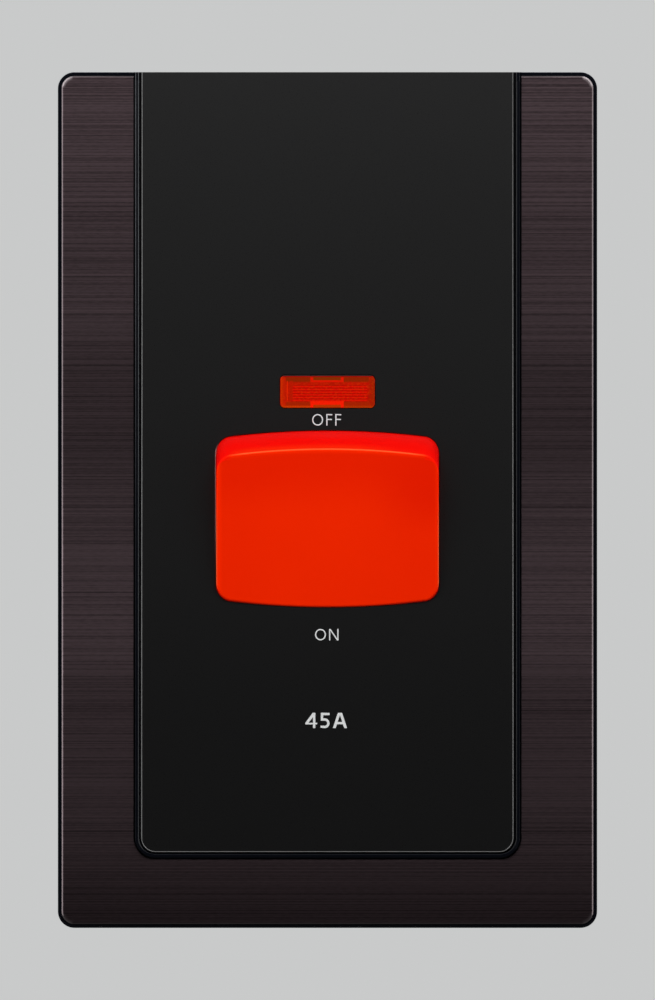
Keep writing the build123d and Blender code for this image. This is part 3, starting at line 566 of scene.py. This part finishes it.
def letter_o(left, foot, width, height, stroke):
    """An ellipse and a smaller one inside it."""
    centre = (left + width / 2, foot + height / 2)
    outside = rounded(centre, (width / 2, height / 2), 0.0, 360.0, 73)[:-1]
    inside = rounded(centre, (width / 2 - stroke, height / 2 - stroke), 0.0, 360.0, 73)[:-1]
    return [outside, inside]


def letter_f(left, foot, width, height, stroke):
    """A stem with a full arm at its head and a slightly shorter one above its middle."""
    head = foot + height
    arm = foot + 0.585 * height
    right = left + width
    short = left + 0.95 * width
    stem = left + stroke
    outline = [(left, foot), (stem, foot), (stem, arm - stroke), (short, arm - stroke), (short, arm)]
    outline += [(stem, arm), (stem, head - stroke), (right, head - stroke), (right, head), (left, head)]
    return [np.array(outline)]


def letter_n(left, foot, width, height, stroke):
    """Two stems joined by a slanted bar."""
    head = foot + height
    right = left + width
    left_stem, right_stem = left + stroke, right - stroke
    slant = 1.3 * stroke
    outline = [(left, foot), (left_stem, foot), (left_stem, head - slant), (right - slant, foot)]
    outline += [(right, foot), (right, head), (right_stem, head), (right_stem, foot + slant)]
    outline += [(left + slant, head), (left, head)]
    return [np.array(outline)]


def figure_4(left, foot, width, height, stroke):
    """A stem crossed by a level bar, closed by a slanted stroke with a three-cornered hole."""
    head = foot + height
    bar_top = foot + 0.35 * height
    bar_foot = bar_top - 0.7 * stroke
    stem_right = left + 0.84 * width
    stem_left = stem_right - stroke
    right = left + width
    outside = [(stem_left, foot), (stem_right, foot), (stem_right, bar_foot), (right, bar_foot)]
    outside += [(right, bar_top), (stem_right, bar_top), (stem_right, head)]
    outside += [(stem_left - 0.02 * width, head), (left, bar_top), (left, bar_foot), (stem_left, bar_foot)]
    hole = [(left + 0.25 * width, bar_top), (stem_left, bar_top), (stem_left, bar_top + 0.36 * height)]
    return [np.array(outside), np.array(hole)]


def figure_5(left, foot, width, height, stroke):
    """A head bar and a short stem that run into a bowl: two arcs about one centre and a nearly flat tail."""
    head = foot + height
    right = left + width
    bowl = 0.32 * height
    centre = (right - bowl, foot + bowl)
    turn = math.degrees(math.acos((left + stroke - centre[0]) / bowl))
    outer = rounded(centre, (bowl, bowl), turn, -90.0)
    inner = rounded(centre, (bowl - stroke, bowl - stroke), -90.0, 90.0)
    start = [(left, centre[1] + bowl - stroke), (left, head), (right, head), (right, head - stroke)]
    start += [(left + stroke, head - stroke)]
    tail_end = left - 0.03 * width
    tail = [(tail_end, foot + 0.02 * height), (tail_end, foot + 1.05 * stroke)]
    return [np.vstack([start, outer, tail, inner])]


def letter_a(left, foot, width, height, stroke):
    """Two slanted legs from a flat head, with a crossbar and a three-cornered hole above it."""
    head = foot + height
    middle = left + width / 2
    right = left + width
    flat = 0.145 * width
    leg = 1.2 * stroke
    bar_top, bar_foot = foot + 0.40 * height, foot + 0.25 * height
    lean = (width / 2 - flat) / height
    inner_foot = width / 2 - leg
    inner_bar = inner_foot - lean * (bar_foot - foot)
    hole_half = inner_foot - lean * (bar_top - foot)
    peak = bar_top + hole_half / lean
    outside = [(left, foot), (left + leg, foot), (middle - inner_bar, bar_foot)]
    outside += [(middle + inner_bar, bar_foot), (right - leg, foot), (right, foot)]
    outside += [(middle + flat, head), (middle - flat, head)]
    hole = [(middle - hole_half, bar_top), (middle + hole_half, bar_top), (middle, peak)]
    return [np.array(outside), np.array(hole)]


def lettering(name, loops):
    """Printed letters: closed outlines in millimetres on the plate, filled as a flat curve, turned upright
    and laid on the panel's face as a thin closed skin."""
    curve = bpy.data.curves.new(name + "_outline", "CURVE")
    curve.dimensions = "2D"
    curve.fill_mode = "BOTH"
    curve.extrude = 0.5
    for loop in loops:
        spline = curve.splines.new("POLY")
        spline.points.add(len(loop) - 1)
        points = np.column_stack([loop, np.zeros(len(loop)), np.ones(len(loop))])
        spline.points.foreach_set("co", points.ravel())
        spline.use_cyclic_u = True
    source = bpy.data.objects.new(name + "_outline", curve)
    mesh = bpy.data.meshes.new_from_object(source)
    mesh.name = name
    bpy.data.objects.remove(source)
    flat = np.zeros(len(mesh.vertices) * 3)
    mesh.vertices.foreach_get("co", flat)
    across, up, out = flat.reshape(-1, 3).T
    placed = np.column_stack([across * MM, panel_low.y - (out + 0.5) * LETTER_THICKNESS, up * MM])
    mesh.vertices.foreach_set("co", placed.ravel())
    mesh.update()
    mesh.materials.clear()
    mesh.materials.append(finishes["print_white"].material)
    piece = bpy.data.objects.new(name, mesh)
    bpy.context.scene.collection.objects.link(piece)
    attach(piece, "plate")


def studio_floor(radius, rings, spokes):
    """Round floor: points at radius r and angle a lie at (r cos a, r sin a), level with the plate's foot."""
    r = np.linspace(0.0, radius, rings)[1:, None]
    a = np.linspace(0.0, 2.0 * math.pi, spokes, endpoint=False)[None, :]
    ring_points = np.stack([r * np.cos(a), r * np.sin(a), np.full_like(r * a, plate_low.z)], axis=-1)
    points = np.vstack([[[0.0, 0.0, plate_low.z]], ring_points.reshape(-1, 3)])
    index = np.arange((rings - 1) * spokes).reshape(rings - 1, spokes) + 1
    inner, outer = index[:-1], index[1:]
    quads = np.stack([inner, outer, np.roll(outer, -1, 1), np.roll(inner, -1, 1)], axis=-1).reshape(-1, 4)
    hub = np.stack([np.zeros(spokes, int), index[0], np.roll(index[0], -1)], axis=-1)
    mesh = bpy.data.meshes.new("studio_floor")
    mesh.from_pydata(points.tolist(), [], hub.tolist() + quads.tolist())
    mesh.materials.append(finishes["studio_floor"].material)
    floor = bpy.data.objects.new("studio_floor", mesh)
    floor.visible_glossy = False
    bpy.context.scene.collection.objects.link(floor)
    return floor


def softbox(name, place, target, width, height, watts):
    """Rectangular soft light that faces a target point."""
    light = bpy.data.lights.new(name, "AREA")
    light.shape = "RECTANGLE"
    light.size = width
    light.size_y = height
    light.energy = watts
    lamp = bpy.data.objects.new(name, light)
    lamp.location = place
    lamp.rotation_euler = (Vector(target) - Vector(place)).to_track_quat("-Z", "Y").to_euler()
    bpy.context.scene.collection.objects.link(lamp)
    return lamp


def light_linked(lamps, name, piece, state):
    """Lets lamps shine on one piece alone, INCLUDE, or on everything but that piece, EXCLUDE."""
    group = bpy.data.collections.new(name)
    group.objects.link(piece)
    group.collection_objects[0].light_linking.link_state = state
    for lamp in lamps:
        lamp.light_linking.receiver_collection = group


def studio_light(floor, trim):
    """A near key and a dim card above the front, fills and edge lights round the plate and a light for the
    back, all kept off the floor, which has an even light of its own and so runs into the background. The
    fills show in no reflection, so that the panel stays black from the side; a faint sheen light in their
    place is for the metal trim alone."""
    middle = (0.0, 0.0, 0.0)
    lamps = [
        softbox("key", (0.0, -0.30, 0.32), middle, width=0.5, height=0.16, watts=1.7),
        softbox("card", (0.0, -0.35, 0.185), (0.0, 0.0, 0.185), width=0.5, height=0.2, watts=0.14),
        softbox("top_edge", (0.0, 0.0, 0.50), middle, width=0.5, height=0.25, watts=0.4),
        softbox("back", (0.25, 0.60, 0.95), middle, width=0.8, height=0.6, watts=12.0),
    ]
    sheens = []
    for side, edge_watts in ((-1, 1.5), (1, 1.275)):
        fill_place = (side * 0.70, -0.40, 0.05)
        edge_place = (side * 0.50, 0.0, 0.22)
        fill = softbox("fill", fill_place, middle, width=0.35, height=0.6, watts=2.7)
        fill.visible_glossy = False
        lamps.append(fill)
        lamps.append(softbox("edge", edge_place, (0.0, 0.0, 0.05), width=0.25, height=0.9, watts=edge_watts))
        sheens.append(softbox("sheen", fill_place, middle, width=0.35, height=0.6, watts=1.0))
    light_linked(lamps, "all_but_floor", floor, "EXCLUDE")
    light_linked(sheens, "trim_alone", trim, "INCLUDE")
    even = bpy.data.lights.new("floor_wash", "SUN")
    even.energy = 3.49
    even.angle = math.radians(100.0)
    wash = bpy.data.objects.new("floor_wash", even)
    bpy.context.scene.collection.objects.link(wash)
    light_linked([wash], "floor_alone", floor, "INCLUDE")


def studio_world():
    """Flat pale grey behind the object; a dim light from all round, a little stronger from below."""
    backdrop_grey = (0.584, 0.591, 0.591, 1.0)
    level_to_below = {"From Min": 0.0, "From Max": -0.6, "To Min": 0.012, "To Max": 0.10}
    world = bpy.data.worlds.new("studio_world")
    world.use_nodes = True
    tree = world.node_tree
    tree.nodes.clear()
    seen = tree.nodes.new("ShaderNodeBackground")
    seen.inputs["Color"].default_value = backdrop_grey
    around = tree.nodes.new("ShaderNodeBackground")
    direction = tree.nodes.new("ShaderNodeSeparateXYZ")
    tree.links.new(tree.nodes.new("ShaderNodeTexCoord").outputs["Generated"], direction.inputs[0])
    falling = tree.nodes.new("ShaderNodeMapRange")
    for socket, number in level_to_below.items():
        falling.inputs[socket].default_value = number
    tree.links.new(direction.outputs["Z"], falling.inputs["Value"])
    tree.links.new(falling.outputs["Result"], around.inputs["Color"])
    path = tree.nodes.new("ShaderNodeLightPath")
    mix = tree.nodes.new("ShaderNodeMixShader")
    output = tree.nodes.new("ShaderNodeOutputWorld")
    tree.links.new(path.outputs["Is Camera Ray"], mix.inputs[0])
    tree.links.new(around.outputs[0], mix.inputs[1])
    tree.links.new(seen.outputs[0], mix.inputs[2])
    tree.links.new(mix.outputs[0], output.inputs["Surface"])
    bpy.context.scene.world = world


def photo_camera():
    """Straight-on camera without perspective, framed so that the plate fills the photograph's rows."""
    metres_per_row = (plate_high.z - plate_low.z) / (PLATE_BOTTOM_ROW - PLATE_TOP_ROW)
    middle_row = (PLATE_TOP_ROW + PLATE_BOTTOM_ROW) / 2
    camera = bpy.data.cameras.new("photo_camera")
    camera.type = "ORTHO"
    camera.ortho_scale = PHOTO_HEIGHT * metres_per_row
    camera.clip_end = 10 * CAMERA_DISTANCE
    eye = bpy.data.objects.new("photo_camera", camera)
    lift = (middle_row - PHOTO_HEIGHT / 2) * metres_per_row
    eye.location = (0.0, -CAMERA_DISTANCE, (plate_low.z + plate_high.z) / 2 + lift)
    eye.rotation_euler = (math.pi / 2, 0.0, 0.0)
    bpy.context.scene.collection.objects.link(eye)
    bpy.context.scene.camera = eye
    bpy.context.scene.view_settings.view_transform = "Standard"


finishes = {
    "frame_black": moulded_plastic("frame_black", (0.016, 0.016, 0.017), 0.55),
    "cover_black": cover_gloss(),
    "panel_black": panel_satin(),
    "bronze_metal": brushed_bronze(),
    "rocker_red": rocker_gloss(),
    "lens_red": lens_ribbed(),
    "lamp_glass": lamp_glass(),
    "resistor_tan": resistor_lacquer(),
    "tinned_wire": turned_metal("tinned_wire", (0.70, 0.70, 0.68), 0.35, tarnish=0.8),
    "housing_grey": moulded_plastic("housing_grey", (0.16, 0.16, 0.165), 0.5),
    "base_grey": moulded_plastic("base_grey", (0.42, 0.42, 0.40), 0.5),
    "screw_steel": turned_metal("screw_steel", (0.62, 0.62, 0.60), 0.32, tarnish=0.7),
    "nylon_white": moulded_plastic("nylon_white", (0.75, 0.75, 0.70), 0.45),
    "spring_steel": turned_metal("spring_steel", (0.42, 0.42, 0.43), 0.3, tarnish=0.75),
    "copper": turned_metal("copper", (0.72, 0.34, 0.19), 0.3, tarnish=0.6),
    "silver": turned_metal("silver", (0.86, 0.85, 0.82), 0.22, tarnish=0.8),
    "brass": turned_metal("brass", (0.74, 0.53, 0.22), 0.3, tarnish=0.65),
    "print_white": printed_white(),
    "studio_floor": pale_floor(),
}
for piece in frame["record"]["subparts"]:
    slots = frame["nodes"][piece["node"]].data.materials
    slots.clear()
    slots.append(finishes[piece["material_slot"]].material)

off = {"foot": 12.70, "height": 1.97, "stroke": THIN_STROKE}
off_letters = letter_o(left=-2.61, width=1.86, **off)
off_letters += letter_f(left=-0.205, width=1.01, **off) + letter_f(left=1.33, width=1.01, **off)
lettering("off_mark", off_letters)
on = {"foot": -23.93, "height": 1.94, "stroke": THIN_STROKE}
lettering("on_mark", letter_o(left=-2.12, width=1.85, **on) + letter_n(left=0.27, width=1.60, **on))
bold = {"foot": -38.91, "height": 2.61, "stroke": BOLD_STROKE}
rating = figure_4(left=-3.76, width=2.00, **bold) + figure_5(left=-1.14, width=1.49, **bold)
lettering("rating_mark", rating + letter_a(left=0.91, width=2.43, **bold))

studio_light(studio_floor(radius=1.5, rings=12, spokes=48), frame["nodes"]["brushed_trim"])
studio_world()
photo_camera()
